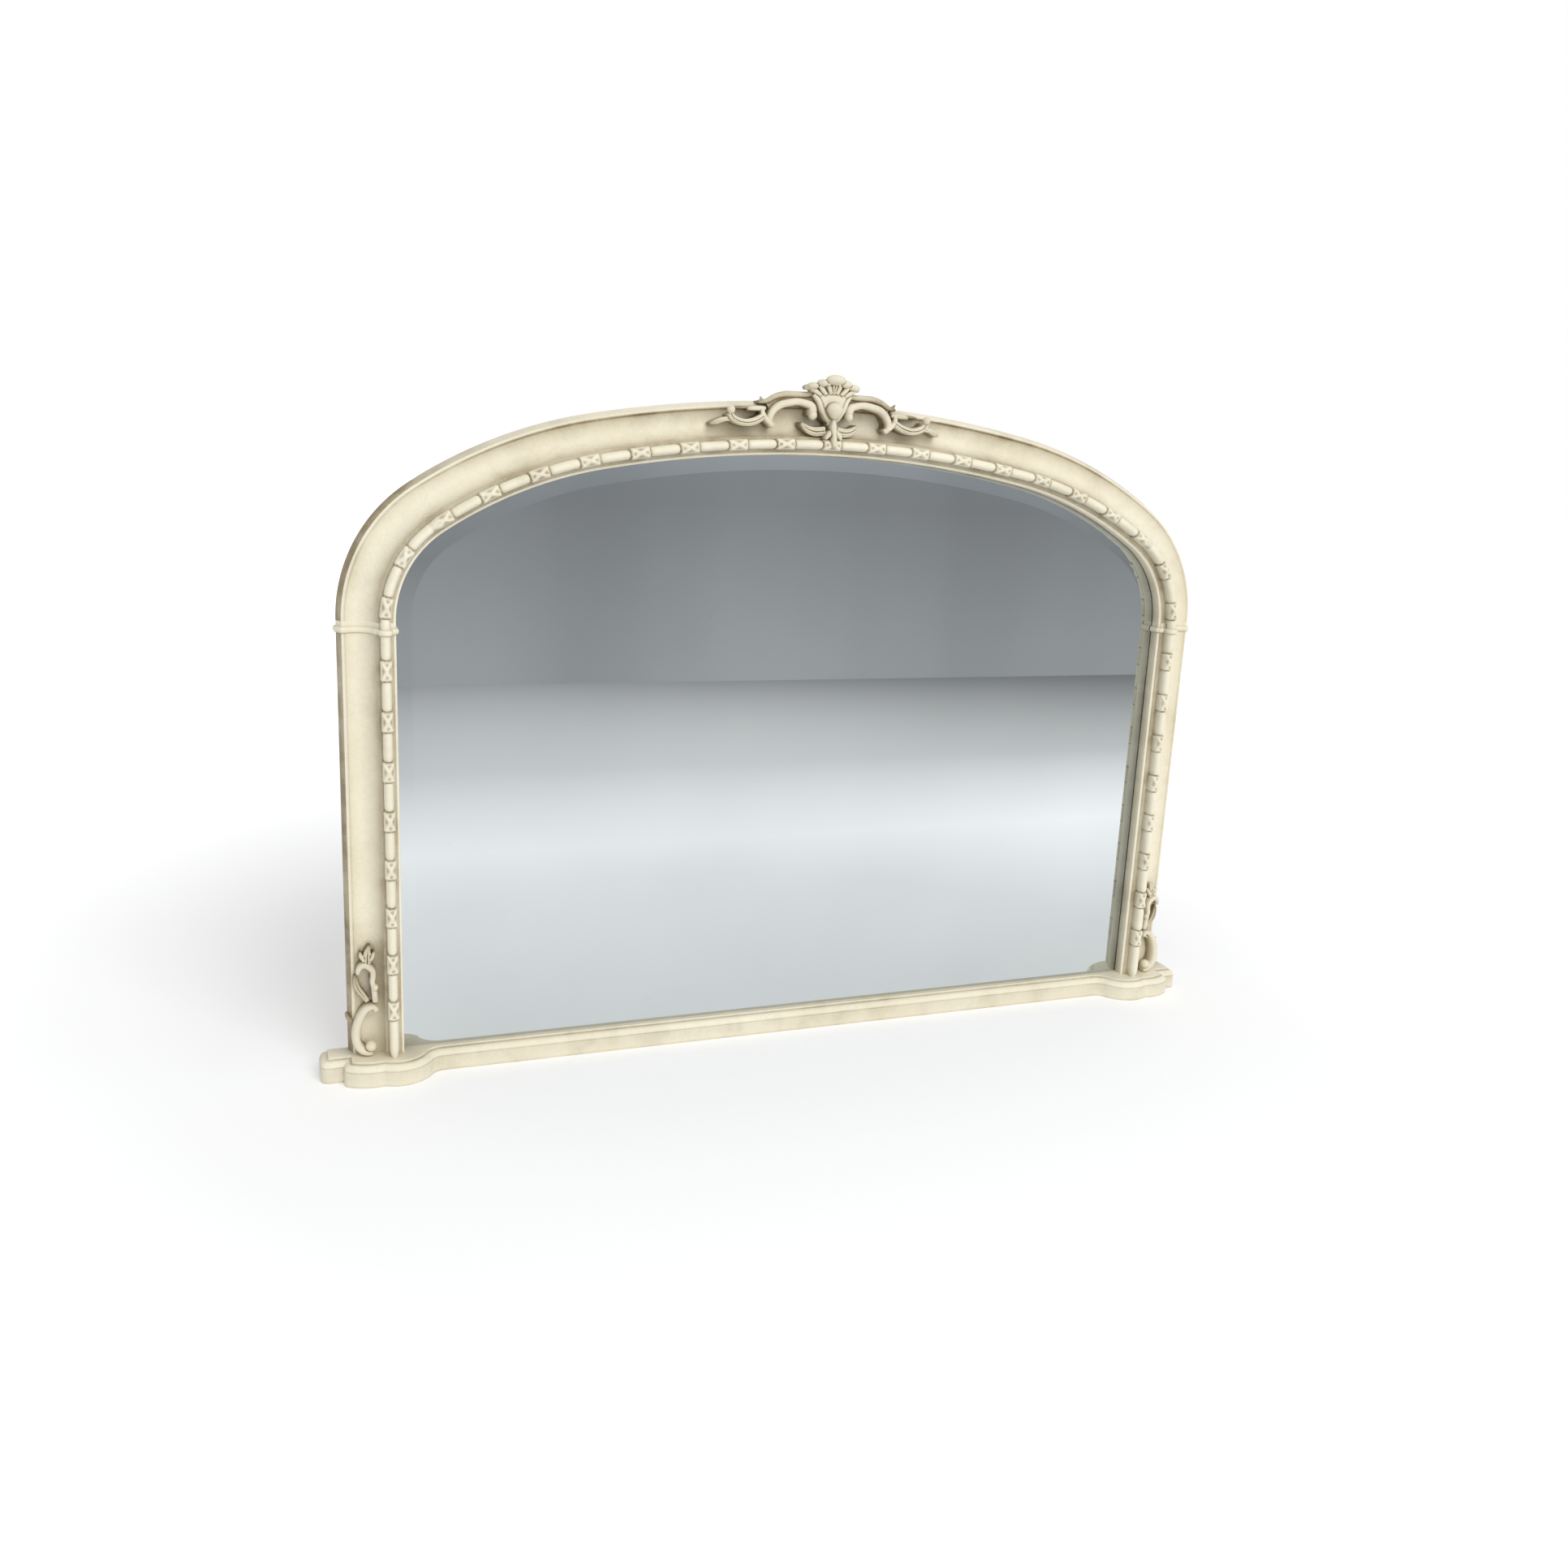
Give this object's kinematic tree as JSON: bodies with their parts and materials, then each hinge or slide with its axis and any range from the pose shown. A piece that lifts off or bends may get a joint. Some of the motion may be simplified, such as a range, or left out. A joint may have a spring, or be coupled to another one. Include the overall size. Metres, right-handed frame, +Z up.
{
  "type": "overmantel mirror",
  "caption": "Arched overmantel mirror: bead-and-reel moulded frame on a shaped plinth, with carved crest and corner scrolls, bevelled glass and hinged hanging rings on the back",
  "frame": {"origin": "middle of the plinth's underside at the wall side: x = 0 is the centre line, y = 0 the back of the frame, z = 0 the underside of the plinth", "axes": "+X to the right seen from the front, +Y towards the wall, +Z up; the mirror faces -Y"},
  "size_m": [1.27, 0.0735, 0.8825],
  "materials": {
    "cream_paint": "aged cream paint with brown patina in the recesses",
    "mirror": "polished, bevelled edge",
    "hardboard": "matt",
    "bare_pine": "sawn, unfinished",
    "steel": "satin"
  },
  "bodies": {
    "frame": {"left_post": "cream_paint", "right_post": "cream_paint", "left_shoulder": "cream_paint", "right_shoulder": "cream_paint", "left_haunch": "cream_paint", "right_haunch": "cream_paint", "crown": "cream_paint", "left_post_bead": "cream_paint", "right_post_bead": "cream_paint", "left_shoulder_bead": "cream_paint", "right_shoulder_bead": "cream_paint", "left_haunch_bead": "cream_paint", "right_haunch_bead": "cream_paint", "crown_bead": "cream_paint", "left_collar": "cream_paint", "right_collar": "cream_paint", "plinth": "cream_paint", "crest_shell": "cream_paint", "crest_boss": "cream_paint", "crest_pendant": "cream_paint", "left_crest_scroll": "cream_paint", "right_crest_scroll": "cream_paint", "left_crest_spray": "cream_paint", "right_crest_spray": "cream_paint", "left_corner_scroll": "cream_paint", "right_corner_scroll": "cream_paint", "left_corner_spray": "cream_paint", "right_corner_spray": "cream_paint", "mirror_glass": "mirror", "backing_board": "hardboard", "bottom_rail": "bare_pine", "glazing_points": "steel", "joint_dowels": "bare_pine", "plinth_screws": "steel", "left_hanger_plate": "steel", "right_hanger_plate": "steel", "hanger_screws": "steel"},
    "left_ring": {"left_hanger_ring": "steel"},
    "right_ring": {"right_hanger_ring": "steel"}
  },
  "joints": [
    {"name": "left_ring_hinge", "type": "hinge", "parent": "frame", "child": "left_ring", "pos_m": [-0.571, 0.00325, 0.52], "axis": [1, 0, 0], "range_deg": [0, 180]},
    {"name": "right_ring_hinge", "type": "hinge", "parent": "frame", "child": "right_ring", "pos_m": [0.571, 0.00325, 0.52], "axis": [1, 0, 0], "range_deg": [0, 180]}
  ]
}
